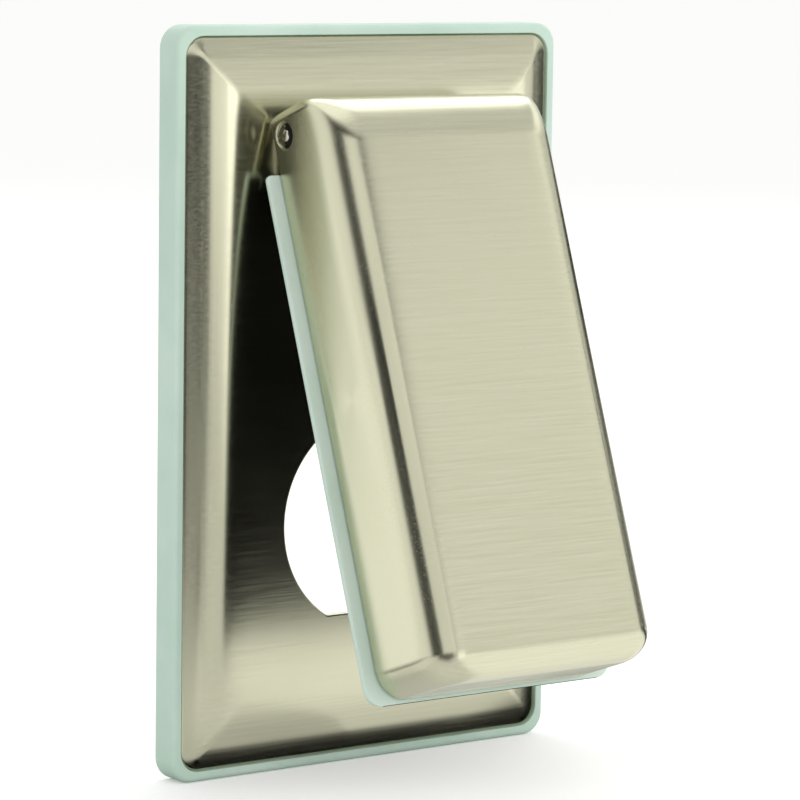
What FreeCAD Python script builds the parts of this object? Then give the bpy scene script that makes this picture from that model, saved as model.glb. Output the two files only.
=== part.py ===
import FreeCAD, Part
import math
import os

# Weatherproof lift-lid cover for a pair of outlets: a dished steel plate on a rubber wall gasket,
# with a drawn steel lid on a hinge pin. Millimetres. X runs right, Y into the wall, Z up.
# The origin is on the fixing screw's axis, in the plane of the wall face.

# Wall gasket
gasket_w = 73.3
gasket_h = 117.8
gasket_t = 5.1
gasket_corner = 3.6
gasket_edge = 0.7
window_w = 46.0
window_h = 79.0
window_corner = 4.0

# Cover plate
plate_w = 69.85
plate_h = 114.3
sheet_t = 1.0
plate_corner = 3.2
skirt_h = 0.7
skirt_edge = 0.25
bevel_w = 2.4
bevel_rise = 0.85
frame_w = 7.4
frame_rise = 0.55
outlet_r = 17.3
outlet_flat = 14.8
outlet_pitch = 39.0

# Fixing screw and its seat in the plate
screw_r = 1.7525
screw_head_r = 3.4
screw_dome = 0.7
screw_cone_half_angle = 41.0
screw_tip_y = 5.6
slot_w = 0.9
slot_depth = 0.9
screw_clear = 0.15
dimple_wall = 1.0
dimple_lap = 0.2
dimple_short = 0.15

# Hinge
pin_drop = 14.95
pin_r = 1.5
pin_dome = 0.4
pin_fit = 0.05
pin_recess_r = 2.15
pin_recess = 0.5
lid_open_deg = 20.0
lid_closed_gap = 0.15

# Bracket
bracket_t = 1.2
ear_r = 2.7
strip_top = -1.0
strip_bottom = -6.4
bend_r = 1.4
washer_space = 0.9
washer_clear = 0.05
washer_r = 2.7
rivet_x = 11.0
rivet_r = 1.2
rivet_head_r = 2.1
rivet_head_h = 0.9
rivet_tail_h = 0.7

# Lid, measured from the pin with the lid shut; its foot is the plate's margin below it
lid_w = 42.9
lid_front = 13.3
lid_rim = 3.1
lid_top = 4.3
lid_foot = 11.45
lid_t = 1.0
lid_round = 4.8
top_round = 9.0
roof_corner = 2.0

# Lid gasket
seal_t = 1.4
seal_flange = 2.1
seal_foot = 0.5
seal_top = 7.0
seal_corner = 2.85
seal_arm_top = 5.2
seal_arm_corner = 0.9
seal_edge = 0.4
plug_t = 2.0
plug_gap = 0.1
plug_top_step = 0.8
face_recess = 1.2
face_clear = 0.4
face_corner = 6.0

vec = FreeCAD.Vector
pin_z = plate_h / 2 - pin_drop
lid_bottom = pin_z + plate_h / 2 - lid_foot
seat_slope = math.tan(math.radians(screw_cone_half_angle))
seat_depth = (screw_head_r - screw_r) / seat_slope
plate_back = -gasket_t
plate_height = skirt_h + bevel_rise + frame_rise
plate_face = plate_back - plate_height
pin_y = plate_face - lid_closed_gap - seal_t - lid_rim
rear_y = plate_face - pin_y
lid_half = lid_w / 2
inner_half = lid_half - lid_t
ear_x = inner_half - washer_space
seal_bottom = lid_bottom + seal_foot


def rounded_rectangle(width, height, corner, y, centre_z=0.0):
    """Closed wire in an X-Z plane, from four lines and four quarter arcs."""
    half_w = width / 2 - corner
    half_h = height / 2 - corner
    quarter = math.radians(45)
    edges = []
    centres = [(half_w, half_h), (-half_w, half_h), (-half_w, -half_h), (half_w, -half_h)]
    ends = []
    for index, (x, z) in enumerate(centres):
        start = index * math.pi / 2
        points = []
        for angle in (start, start + quarter, start + 2 * quarter):
            points.append(vec(x + corner * math.cos(angle), y, centre_z + z + corner * math.sin(angle)))
        edges.append(Part.Arc(*points).toShape())
        ends.append((points[0], points[2]))
    for index in range(4):
        edges.append(Part.LineSegment(ends[index][1], ends[(index + 1) % 4][0]).toShape())
    return Part.Wire(Part.__sortEdges__(edges))


def slab(width, height, corner, y_from, y_to, centre_z=0.0):
    """Rounded rectangular block between two depths."""
    wire = rounded_rectangle(width, height, corner, y_from, centre_z)
    return Part.Face(wire).extrude(vec(0, y_to - y_from, 0))


def duplex(centre_z, y_from, y_to):
    """Round opening with a flat above and below, as an outlet's face has."""
    disc = Part.makeCylinder(outlet_r, y_to - y_from, vec(0, y_from, centre_z), vec(0, 1, 0))
    block = Part.makeBox(
        2 * outlet_r, y_to - y_from, 2 * outlet_flat, vec(-outlet_r, y_from, centre_z - outlet_flat))
    return disc.common(block)


def turned(points, axis_point, axis):
    """Solid of revolution from a closed outline."""
    face = Part.Face(Part.makePolygon(points + [points[0]]))
    return face.revolve(axis_point, axis, 360)


def flat_edges(shape, y):
    """Edges that lie wholly at one depth."""
    return [e for e in shape.Edges if abs(e.BoundBox.YMin - y) < 1e-4 and abs(e.BoundBox.YMax - y) < 1e-4]


def shelled_levels(levels, wall):
    """The inner profile of a sheet: each stretch of the outer one moved in by the wall."""
    lines = [((wall, 0.0), (0.0, 1.0))]
    for (i0, h0), (i1, h1) in zip(levels[1:], levels[2:]):
        length = math.hypot(i1 - i0, h1 - h0)
        run = ((i1 - i0) / length, (h1 - h0) / length)
        lines.append(((i0 + wall * run[1], h0 - wall * run[0]), run))
    lines.append(((0.0, levels[-1][1] - wall), (1.0, 0.0)))
    corners = []
    for (p, u), (q, v) in zip(lines, lines[1:]):
        along = ((q[0] - p[0]) * v[1] - (q[1] - p[1]) * v[0]) / (u[0] * v[1] - u[1] * v[0])
        corners.append((p[0] + along * u[0], p[1] + along * u[1]))
    return [(corners[0][0], -sheet_t)] + corners


def dished(levels):
    """Dished block: upright skirt, bevel with rounded corners, then a border that slopes up to the flat."""
    (edge_in, foot), (edge_in, skirt), (bevel_in, bevel_top), (flat_in, flat_top) = levels
    block = slab(
        plate_w - 2 * edge_in, plate_h - 2 * edge_in, plate_corner - edge_in,
        plate_back - foot, plate_back - bevel_top)
    block = block.makeChamfer(bevel_top - skirt, bevel_in - edge_in, flat_edges(block, plate_back - bevel_top))
    border = slab(
        plate_w - 2 * bevel_in, plate_h - 2 * bevel_in, plate_corner - bevel_in,
        plate_back - bevel_top, plate_back - flat_top)
    border = border.common(hipped(bevel_in, bevel_top, flat_in, flat_top))
    return block.fuse(border).removeSplitter()


def hipped(inset_low, height_low, inset_high, height_high):
    """Flat-topped block with four plane slopes, mitred at its corners."""
    rings = []
    for inset, height in ((inset_low, height_low), (inset_high, height_high)):
        half_w = plate_w / 2 - inset
        half_h = plate_h / 2 - inset
        y = plate_back - height
        rings.append([vec(x, y, z) for x, z in (
            (half_w, half_h), (-half_w, half_h), (-half_w, -half_h), (half_w, -half_h))])
    low, high = rings
    faces = [Part.Face(Part.makePolygon(ring + [ring[0]])) for ring in rings]
    for index in range(4):
        after = (index + 1) % 4
        corners = [low[index], low[after], high[after], high[index], low[index]]
        faces.append(Part.Face(Part.makePolygon(corners)))
    return Part.makeSolid(Part.makeShell(faces))


def base_gasket():
    body = slab(gasket_w, gasket_h, gasket_corner, 0, plate_back)
    body = body.makeChamfer(gasket_edge, flat_edges(body, plate_back))
    return body.cut(slab(window_w, window_h, window_corner, 1, plate_back - 1))


def cover_plate():
    levels = [
        (0.0, 0.0),
        (0.0, skirt_h),
        (bevel_w, skirt_h + bevel_rise),
        (bevel_w + frame_w, plate_height),
    ]
    outer = dished(levels)
    outer = outer.makeChamfer(skirt_edge, flat_edges(outer, plate_back - skirt_h))
    plate = outer.cut(dished(shelled_levels(levels, sheet_t)))
    dimple_front = plate_face + sheet_t - dimple_lap
    dimple_length = plate_face + seat_depth - dimple_short - dimple_front
    dimple_r = screw_head_r + dimple_wall
    plate = plate.fuse(Part.makeCone(
        dimple_r, dimple_r - dimple_length * seat_slope, dimple_length, vec(0, dimple_front, 0), vec(0, 1, 0)))
    plate = plate.cut(Part.makeCone(
        screw_head_r + screw_clear, screw_r + screw_clear, seat_depth, vec(0, plate_face, 0), vec(0, 1, 0)))
    for side in (-1, 1):
        plate = plate.cut(duplex(side * outlet_pitch / 2, plate_face - 1, 1))
        plate = plate.cut(Part.makeCylinder(
            rivet_r, 4 * sheet_t, vec(side * rivet_x, plate_face - 1, rivet_z()), vec(0, 1, 0)))
    return plate


def rivet_z():
    return pin_z + (strip_top + strip_bottom) / 2


def hinge_bracket():
    """Folded strip: flat on the plate, with an ear at each end that carries the pin."""
    strip = Part.makeBox(
        2 * ear_x, bracket_t, strip_top - strip_bottom, vec(-ear_x, rear_y - bracket_t, strip_bottom))
    ear_outline = [
        vec(-ear_x, 0, 0),
        vec(-ear_x, math.sqrt(ear_r ** 2 - strip_top ** 2), strip_top),
        vec(-ear_x, rear_y, strip_top),
        vec(-ear_x, rear_y, strip_bottom),
        vec(-ear_x, rear_y - bracket_t, strip_bottom),
        vec(-ear_x, -ear_r * math.cos(math.radians(40)), -ear_r * math.sin(math.radians(40))),
    ]
    ear = Part.Face(Part.makePolygon(ear_outline + [ear_outline[0]])).extrude(vec(bracket_t, 0, 0))
    ear = ear.fuse(Part.makeCylinder(ear_r, bracket_t, vec(-ear_x, 0, 0), vec(1, 0, 0)))
    bracket = strip.fuse([ear, ear.mirror(vec(0, 0, 0), vec(1, 0, 0))]).removeSplitter()
    folds = []
    for edge in bracket.Edges:
        box = edge.BoundBox
        at_back = abs(box.YMin - rear_y) < 1e-4 and abs(box.YMax - rear_y) < 1e-4
        if at_back and box.XLength < 1e-4 and abs(abs(box.XMin) - ear_x) < 1e-4:
            folds.append(edge)
    bracket = bracket.makeFillet(bend_r, folds)
    bracket = bracket.cut(Part.makeCylinder(
        pin_r + pin_fit, 2 * ear_x + 2, vec(-ear_x - 1, 0, 0), vec(1, 0, 0)))
    bracket.translate(vec(0, pin_y, pin_z))
    for side in (-1, 1):
        bracket = bracket.cut(Part.makeCylinder(
            rivet_r, 4 * bracket_t, vec(side * rivet_x, plate_face - 2 * bracket_t, rivet_z()), vec(0, 1, 0)))
    return bracket


def bracket_rivet(side):
    """Head on the strip, shank through strip and plate, tail behind the plate."""
    front = plate_face - bracket_t
    back = plate_face + sheet_t
    outline = [
        vec(0, front - rivet_head_h, 0),
        vec(rivet_head_r, front - rivet_head_h, 0),
        vec(rivet_head_r, front, 0),
        vec(rivet_r, front, 0),
        vec(rivet_r, back, 0),
        vec(rivet_head_r, back, 0),
        vec(rivet_head_r, back + rivet_tail_h, 0),
        vec(0, back + rivet_tail_h, 0),
    ]
    rivet = turned(outline, vec(0, 0, 0), vec(0, 1, 0))
    rivet.translate(vec(side * rivet_x, 0, rivet_z()))
    return rivet


def plate_screw():
    """Slotted oval-head screw that fixes the cover to the outlet's strap."""
    outline = [
        vec(0, plate_face, 0),
        vec(screw_head_r, plate_face, 0),
        vec(screw_r, plate_face + seat_depth, 0),
        vec(screw_r, screw_tip_y, 0),
        vec(0, screw_tip_y, 0),
    ]
    screw = turned(outline, vec(0, 0, 0), vec(0, 1, 0))
    dome = (screw_head_r ** 2 + screw_dome ** 2) / (2 * screw_dome)
    ball = Part.makeSphere(dome, vec(0, plate_face - screw_dome + dome, 0))
    head = ball.common(Part.makeCylinder(screw_head_r, screw_dome, vec(0, plate_face, 0), vec(0, -1, 0)))
    screw = screw.fuse(head).removeSplitter()
    slot = Part.makeBox(
        slot_w, slot_depth + 1, 2 * screw_head_r + 1,
        vec(-slot_w / 2, plate_face - screw_dome - 1, -screw_head_r - 0.5))
    return screw.cut(slot)


def lid_form(inset):
    """Box of the lid with its rounded edges; inset moves every wall in by the same amount.

    The roof meets the sides in a small radius outside and in a sharp corner inside.
    """
    front = -lid_front + inset
    top = lid_top - inset
    bottom = -lid_bottom + inset
    depth = lid_rim - front
    box = Part.makeBox(lid_w - 2 * inset, depth, top - bottom, vec(-lid_half + inset, front, bottom))
    rounds = []
    for index, edge in enumerate(box.Edges, 1):
        span = edge.BoundBox
        at_top = abs(span.ZMin - top) < 1e-4
        if span.YLength > 1 and at_top and inset > 0:
            continue
        if span.YLength > 1:
            radius = roof_corner if at_top else lid_round - inset
        elif abs(span.YMin - front) > 1e-4:
            continue
        else:
            radius = (top_round if at_top and span.XLength > 1 else lid_round) - inset
        rounds.append((index, radius, radius))
    document = FreeCAD.newDocument("lid")
    source = document.addObject("Part::Feature", "box")
    source.Shape = box
    rounded = document.addObject("Part::Fillet", "rounded")
    rounded.Base = source
    rounded.Edges = rounds
    document.recompute()
    solid = rounded.Shape.Solids[0].copy()
    FreeCAD.closeDocument(document.Name)
    return solid


def open_lid(shape):
    """Carry a shape from the shut position about the pin to the resting, part-open position."""
    shape.rotate(vec(0, 0, 0), vec(-1, 0, 0), lid_open_deg)
    shape.translate(vec(0, pin_y, pin_z))
    return shape


def knuckle_trim():
    """What is cut off above and behind the pin so that the lid clears the plate as it turns."""
    corner = Part.makeBox(lid_w + 2, lid_rim + 1, lid_top + 1, vec(-lid_half - 1, 0, 0))
    return corner.cut(Part.makeCylinder(lid_top, lid_w + 4, vec(-lid_half - 2, 0, 0), vec(1, 0, 0)))


def lid_shell():
    shell = lid_form(0).cut(knuckle_trim())
    hollow = lid_form(lid_t)
    mouth = Part.Face(rounded_rectangle(
        2 * inner_half, lid_top + lid_bottom - 2 * lid_t, lid_round - lid_t, lid_rim,
        (lid_top - lid_bottom) / 2)).extrude(vec(0, 1, 0))
    shell = shell.cut(hollow).cut(mouth)
    roof_gap = Part.makeBox(2 * inner_half, lid_rim + 1, lid_top + 1, vec(-inner_half, 0, 0))
    shell = shell.cut(roof_gap)
    shell = shell.cut(Part.makeCylinder(pin_r, lid_w + 2, vec(-lid_half - 1, 0, 0), vec(1, 0, 0)))
    for side in (-1, 1):
        shell = shell.cut(Part.makeCylinder(
            pin_recess_r, pin_recess + 1, vec(side * (lid_half + 1), 0, 0), vec(-side, 0, 0)))
    return open_lid(shell)


def lid_gasket():
    """Moulded seal: a flange on the lid's rim and a plug inside it, recessed for the outlets' faces.

    Beside the bracket two arms of the flange run on up the side walls' rims.
    """
    rim = lid_rim
    height = seal_bottom - seal_top
    centre = -(seal_bottom + seal_top) / 2
    flange = slab(lid_w + 2 * seal_flange, height, seal_corner, rim, rim + seal_t, centre)
    arm_w = lid_t + seal_flange
    arm_foot = seal_top + seal_corner + seal_t
    for side in (-1, 1):
        arm = slab(
            arm_w, arm_foot - seal_arm_top, seal_arm_corner, rim, rim + seal_t, -(arm_foot + seal_arm_top) / 2)
        arm.translate(vec(side * (inner_half + arm_w / 2), 0, 0))
        flange = flange.fuse(arm)
    flange = flange.removeSplitter()
    flange = flange.makeChamfer(seal_edge, flat_edges(flange, rim + seal_t))
    plug_top = seal_top + plug_top_step
    plug_bottom = lid_bottom - lid_t - plug_gap
    plug = slab(
        2 * (inner_half - plug_gap), plug_bottom - plug_top, lid_round - lid_t,
        rim - plug_t, rim, -(plug_bottom + plug_top) / 2)
    seal = flange.fuse(plug).removeSplitter()
    recess = slab(
        2 * (outlet_r + face_clear), outlet_pitch + 2 * (outlet_flat + face_clear), face_corner,
        rim + seal_t - face_recess, rim + seal_t + 1, -pin_z)
    return open_lid(seal.cut(recess))


def hinge_pin():
    """Plain pin with domed ends, held in the lid's side walls and turning in the bracket."""
    length = 2 * (lid_half - pin_recess / 2)
    shaft = Part.makeCylinder(pin_r, length, vec(-length / 2, 0, 0), vec(1, 0, 0))
    dome = (pin_r ** 2 + pin_dome ** 2) / (2 * pin_dome)
    for side in (-1, 1):
        ball = Part.makeSphere(dome, vec(side * (length / 2 + pin_dome - dome), 0, 0))
        cap = ball.common(Part.makeCylinder(
            pin_r, pin_dome, vec(side * length / 2, 0, 0), vec(side, 0, 0)))
        shaft = shaft.fuse(cap)
    return open_lid(shaft.removeSplitter())


def friction_washer(side):
    """Flat washer between the bracket's ear and the lid's wall; its drag holds the lid where it is put."""
    near = vec(side * (ear_x + washer_clear), 0, 0)
    thickness = washer_space - 2 * washer_clear
    ring = Part.makeCylinder(washer_r, thickness, near, vec(side, 0, 0))
    return open_lid(ring.cut(Part.makeCylinder(pin_r + pin_fit, thickness, near, vec(side, 0, 0))))


parts = {
    "base_gasket": base_gasket(),
    "cover_plate": cover_plate(),
    "hinge_bracket": hinge_bracket(),
    "bracket_rivet_left": bracket_rivet(-1),
    "bracket_rivet_right": bracket_rivet(1),
    "plate_screw": plate_screw(),
    "lid_shell": lid_shell(),
    "lid_gasket": lid_gasket(),
    "hinge_pin": hinge_pin(),
    "friction_washer_left": friction_washer(-1),
    "friction_washer_right": friction_washer(1),
}

os.makedirs("parts", exist_ok=True)
for name, shape in parts.items():
    if not shape.isValid() or len(shape.Solids) != 1:
        raise ValueError(name + " is not one valid solid")
    shape.Solids[0].exportStep("parts/" + name + ".step")
    print(name, round(shape.Volume, 1), "mm3")
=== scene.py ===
# %% [markdown]
# A weatherproof cover for a pair of outlets: a dished steel plate on a pale rubber wall gasket, with a
# drawn steel lid that stands part open on a hinge pin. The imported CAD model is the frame. Every piece but
# the bracket is made again here, on the same sizes, with the softer edges that catch the light.

import math

import bmesh
import bpy
from mathutils import Matrix, Vector


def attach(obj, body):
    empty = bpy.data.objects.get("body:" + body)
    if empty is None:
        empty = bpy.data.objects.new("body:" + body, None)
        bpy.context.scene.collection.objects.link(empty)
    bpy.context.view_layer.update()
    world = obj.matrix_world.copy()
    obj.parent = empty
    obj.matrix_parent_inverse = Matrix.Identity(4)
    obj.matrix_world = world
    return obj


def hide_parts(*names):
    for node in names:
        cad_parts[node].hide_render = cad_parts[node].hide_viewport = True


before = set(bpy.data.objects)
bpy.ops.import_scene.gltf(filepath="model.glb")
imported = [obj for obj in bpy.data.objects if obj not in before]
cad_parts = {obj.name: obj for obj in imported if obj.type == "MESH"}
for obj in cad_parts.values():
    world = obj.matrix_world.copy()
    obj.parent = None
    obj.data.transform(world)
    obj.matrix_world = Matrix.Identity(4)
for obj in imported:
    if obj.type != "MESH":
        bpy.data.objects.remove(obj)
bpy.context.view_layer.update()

# %% [markdown]
# Every size below is in millimetres and is the one the CAD uses, except the lid's side blend, which the
# CAD has as a plain round. Blender works in metres, so points are multiplied by MM once, when a mesh is
# made. The pin's place is where the lid turns.

# %% Sizes shared with the CAD
MM = 0.001
GASKET_W, GASKET_H, GASKET_T, GASKET_CORNER = 73.3, 117.8, 5.1, 3.6
WINDOW_W, WINDOW_H, WINDOW_CORNER = 46.0, 79.0, 4.0
PLATE_W, PLATE_H, SHEET_T, PLATE_CORNER = 69.85, 114.3, 1.0, 3.2
PLATE_BACK, PLATE_FACE = -5.1, -7.2
OUTLET_R, OUTLET_FLAT, OUTLET_PITCH = 17.3, 14.8, 39.0
PIN_Y, PIN_Z, PIN_R = -11.85, 42.2, 1.5
LID_HALF, LID_FRONT, LID_RIM, LID_TOP, LID_BOTTOM = 21.45, 13.3, 3.1, 4.3, 87.9
LID_T, LID_ROUND, TOP_ROUND, ROOF_CORNER = 1.0, 4.8, 9.0, 2.0
LID_SIDE_BLEND, BLEND_POWER = 7.2, 2.9
LID_OPEN = math.radians(20)


# %% [markdown]
# Two small helpers carry most of the file. add_node puts one node in a tree and fills or links its
# sockets. srgb turns a colour as it is written, such as D4D1B8, into the linear light that shaders use.

# %% Helpers for node trees and colours
def add_node(tree, kind, inputs=None, **settings):
    """One node with its settings; inputs maps a socket to a value, or to another node's output."""
    node = tree.nodes.new(kind)
    for name, value in settings.items():
        setattr(node, name, value)
    for key, value in (inputs or {}).items():
        if isinstance(value, bpy.types.NodeSocket):
            tree.links.new(value, node.inputs[key])
        else:
            node.inputs[key].default_value = value
    return node


def srgb(hex_value):
    """Linear RGBA from an sRGB hex colour."""
    channels = [int(hex_value[i:i + 2], 16) / 255 for i in (0, 2, 4)]
    return [c / 12.92 if c <= 0.04045 else ((c + 0.055) / 1.055) ** 2.4 for c in channels] + [1.0]


def new_material(name):
    """A material with an empty tree, its shader and its output already joined."""
    material = bpy.data.materials.new(name)
    material.use_nodes = True
    tree = material.node_tree
    tree.nodes.clear()
    shader = add_node(tree, "ShaderNodeBsdfPrincipled")
    add_node(tree, "ShaderNodeOutputMaterial", {"Surface": shader.outputs[0]})
    return material, tree, shader


# %% [markdown]
# Brushed stainless steel: an abrasive belt drags fine scratches across the sheet, here from side to side.
# Each scratch mirrors the room a little higher or lower, so reflections smear at right angles to the
# brushing. The belt leaves lines of about 0.1 mm; they are drawn 0.35 mm apart so that they show.
# Anisotropy does the smear, and a noise that is stretched along X does the lines.

# %% Brushed steel
# How often each noise repeats in a metre, along X, Y and Z.
STREAK_SCALE, HAIR_SCALE = (55, 2900, 2900), (140, 7600, 7600)
GLOSS_SPREAD, SMEAR = 0.04, 0.75


def brushed_steel(name, roughness, streak_height):
    material, tree, shader = new_material(name)
    place = add_node(tree, "ShaderNodeTexCoord").outputs["Object"]
    wide = add_node(tree, "ShaderNodeMapping", {"Vector": place, "Scale": STREAK_SCALE})
    fine = add_node(tree, "ShaderNodeMapping", {"Vector": place, "Scale": HAIR_SCALE})
    lines = add_node(tree, "ShaderNodeTexNoise", {"Vector": wide.outputs[0], "Scale": 1.0, "Detail": 2.0})
    hairs = add_node(tree, "ShaderNodeTexNoise", {"Vector": fine.outputs[0], "Scale": 1.0, "Detail": 1.0})
    both = add_node(tree, "ShaderNodeMix", {
        "Factor": 0.4, "A": lines.outputs["Fac"], "B": hairs.outputs["Fac"]})
    handled = add_node(tree, "ShaderNodeTexNoise", {"Vector": place, "Scale": 45.0, "Detail": 3.0})
    gloss = add_node(tree, "ShaderNodeMapRange", {
        "Value": both.outputs[0], "From Min": 0.3, "From Max": 0.7,
        "To Min": roughness - GLOSS_SPREAD, "To Max": roughness + GLOSS_SPREAD})
    smudge = add_node(tree, "ShaderNodeMapRange", {
        "Value": handled.outputs["Fac"], "From Min": 0.35, "From Max": 0.7, "To Min": -0.01, "To Max": 0.02})
    total = add_node(tree, "ShaderNodeMath", {0: gloss.outputs[0], 1: smudge.outputs[0]}, operation="ADD")
    tint = add_node(tree, "ShaderNodeMix", {
        "Factor": both.outputs[0], "A": srgb("CBCAAD"), "B": srgb("E1E0C6")}, data_type="RGBA")
    bump = add_node(tree, "ShaderNodeBump", {
        "Height": both.outputs[0], "Strength": 1.0, "Distance": streak_height * MM})
    tangent = add_node(tree, "ShaderNodeTangent", direction_type="RADIAL", axis="X")
    shader.inputs["Metallic"].default_value = 1.0
    shader.inputs["Anisotropic"].default_value = SMEAR
    for socket, source in (
            ("Base Color", tint.outputs["Result"]), ("Roughness", total.outputs[0]),
            ("Normal", bump.outputs[0]), ("Tangent", tangent.outputs[0])):
        tree.links.new(source, shader.inputs[socket])
    return material


plate_steel = brushed_steel("stainless steel, belt brushed, plate", 0.22, 0.0015)
lid_steel = brushed_steel("stainless steel, belt brushed, lid", 0.23, 0.0015)

# %% [markdown]
# The bracket is plain pickled strip, which is even and satin. The screw, pin and rivets are turned or
# headed steel: their cutting tool leaves rings about their own axis, 0.15 mm apart here so that they show.
# Strip has no such rings, so its spacing is set wider than the piece.

# %% Plain and turned steel
def turned_steel(name, colour, roughness, centre, axis, ring_mm=0.15):
    material, tree, shader = new_material(name)
    place = add_node(tree, "ShaderNodeTexCoord").outputs["Object"]
    centred = add_node(tree, "ShaderNodeVectorMath", {
        0: place, 1: [c * MM for c in centre]}, operation="SUBTRACT")
    across = add_node(tree, "ShaderNodeVectorMath", {
        0: centred.outputs[0], 1: [0.0 if a == axis else 1.0 for a in "XYZ"]}, operation="MULTIPLY")
    radius = add_node(tree, "ShaderNodeVectorMath", {0: across.outputs[0]}, operation="LENGTH")
    phase = add_node(tree, "ShaderNodeMath", {
        0: radius.outputs["Value"], 1: 2 * math.pi / (ring_mm * MM)}, operation="MULTIPLY")
    rings = add_node(tree, "ShaderNodeMath", {0: phase.outputs[0]}, operation="SINE")
    grain = add_node(tree, "ShaderNodeTexNoise", {"Vector": place, "Scale": 2600.0, "Detail": 2.0})
    mixed = add_node(tree, "ShaderNodeMath", {
        0: rings.outputs[0], 1: 0.25, 2: grain.outputs["Fac"]}, operation="MULTIPLY_ADD")
    gloss = add_node(tree, "ShaderNodeMapRange", {
        "Value": grain.outputs["Fac"], "From Min": 0.3, "From Max": 0.7,
        "To Min": roughness - 0.05, "To Max": roughness + 0.06})
    bump = add_node(tree, "ShaderNodeBump", {
        "Height": mixed.outputs[0], "Strength": 0.6, "Distance": 0.002 * MM})
    shader.inputs["Metallic"].default_value = 1.0
    shader.inputs["Base Color"].default_value = srgb(colour)
    tree.links.new(gloss.outputs[0], shader.inputs["Roughness"])
    tree.links.new(bump.outputs[0], shader.inputs["Normal"])
    return material


pin_steel = turned_steel("stainless steel, ground pin", "D6D4C4", 0.22, (0, PIN_Y, PIN_Z), "X")
screw_steel = turned_steel("stainless steel, cold headed screw", "D0CEC0", 0.25, (0, 0, 0), "Y")
rivet_steel = turned_steel("stainless steel, headed rivets", "CDCBBD", 0.3, (0, 0, 0), "Y")
bracket_steel = turned_steel("stainless strip, pickled", "C4C2B4", 0.38, (0, 0, 0), "Y", ring_mm=40)

# %% [markdown]
# The gaskets are a soft moulded thermoplastic rubber in a pale grey green. The mould is spark eroded, so
# the skin has a fine matt grain, and the colour is even except for a little dust and handling.
# The washers on the pin are natural nylon: milky, slightly see-through and a touch smoother. The faces inside
# the lid that look at the outlets are painted black, as painted shade, so the steel mirrors a dark lid. The
# front of the ring round each pin end is painted dark, as painted shade in the gap there; it is matt and
# uneven too, so it comes from the same function.

# %% Rubber, nylon, and two dark finishes for painted shade
def moulded(name, low, high, roughness, grain_mm, depth_mm, subsurface=0.0, specular=0.5):
    material, tree, shader = new_material(name)
    place = add_node(tree, "ShaderNodeTexCoord").outputs["Object"]
    grain = add_node(tree, "ShaderNodeTexNoise", {
        "Vector": place, "Scale": 1 / (grain_mm * MM), "Detail": 3.0})
    cloud = add_node(tree, "ShaderNodeTexNoise", {"Vector": place, "Scale": 70.0, "Detail": 4.0})
    spread = add_node(tree, "ShaderNodeMapRange", {
        "Value": cloud.outputs["Fac"], "From Min": 0.3, "From Max": 0.7})
    tint = add_node(tree, "ShaderNodeMix", {
        "Factor": spread.outputs[0], "A": srgb(low), "B": srgb(high)}, data_type="RGBA")
    gloss = add_node(tree, "ShaderNodeMapRange", {
        "Value": grain.outputs["Fac"], "From Min": 0.3, "From Max": 0.7,
        "To Min": roughness - 0.06, "To Max": roughness + 0.08})
    bump = add_node(tree, "ShaderNodeBump", {
        "Height": grain.outputs["Fac"], "Strength": 0.7, "Distance": depth_mm * MM})
    shader.inputs["Subsurface Weight"].default_value = subsurface
    shader.inputs["Subsurface Scale"].default_value = 0.001
    shader.inputs["IOR"].default_value = 1.5
    shader.inputs["Specular IOR Level"].default_value = specular
    tree.links.new(tint.outputs["Result"], shader.inputs["Base Color"])
    tree.links.new(gloss.outputs[0], shader.inputs["Roughness"])
    tree.links.new(bump.outputs[0], shader.inputs["Normal"])
    return material


wall_rubber = moulded("thermoplastic rubber, moulded, wall gasket", "BCD6C6", "CADFD2", 0.55, 0.22, 0.012)
lid_rubber = moulded("thermoplastic rubber, moulded, lid seal", "CBDFD2", "D8E9DE", 0.55, 0.22, 0.012)
nylon = moulded("nylon, natural, moulded", "DEDACB", "E8E4D6", 0.4, 0.3, 0.006, subsurface=0.15)
# Painted shade: black for the faces inside the lid, where only shade falls, so the steel mirrors a dark lid.
pad_foam = moulded("black finish, painted shade inside the lid", "070807", "0E0F0E", 0.9, 0.35, 0.03, specular=0.08)
# Painted shade: a dark finish for the gap round each pin end, where shade falls.
grease = moulded("dark, painted shade in the pin's recess", "0A0A08", "151411", 0.5, 0.2, 0.01, specular=0.2)


# %% [markdown]
# The camera stands where the photograph was taken: left of the object, a little above it, and far away,
# so a long lens is needed. Its axes are built from the yaw, the pitch and a slight roll.

# %% Camera
CAMERA_PLACE = Vector((-354.717, -495.922, 76.757)) * MM
YAW, PITCH, ROLL = (math.radians(a) for a in (36.329, 7.2839, 0.8192))

camera_data = bpy.data.cameras.new("camera")
camera_data.lens = 172.5445
camera_data.sensor_width = 36.0
camera_data.clip_start = 0.01
camera = bpy.data.objects.new("camera", camera_data)
bpy.context.scene.collection.objects.link(camera)
back = Vector((-math.sin(YAW) * math.cos(PITCH), -math.cos(YAW) * math.cos(PITCH), math.sin(PITCH)))
level = (-back).cross(Vector((0, 0, 1))).normalized()
upright = level.cross(-back)
across = level * math.cos(ROLL) + upright * math.sin(ROLL)
upward = upright * math.cos(ROLL) - level * math.sin(ROLL)
camera.matrix_world = Matrix.Translation(CAMERA_PLACE) @ Matrix((across, upward, back)).transposed().to_4x4()
bpy.context.scene.camera = camera


# %% [markdown]
# Most pieces here are a stack of rounded rectangles, each with its own size, corner and depth, joined by
# a skin of quads. ring gives one rectangle and skin joins them. The ends are closed by a cap, or joined
# to each other where the piece is a frame.

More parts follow.
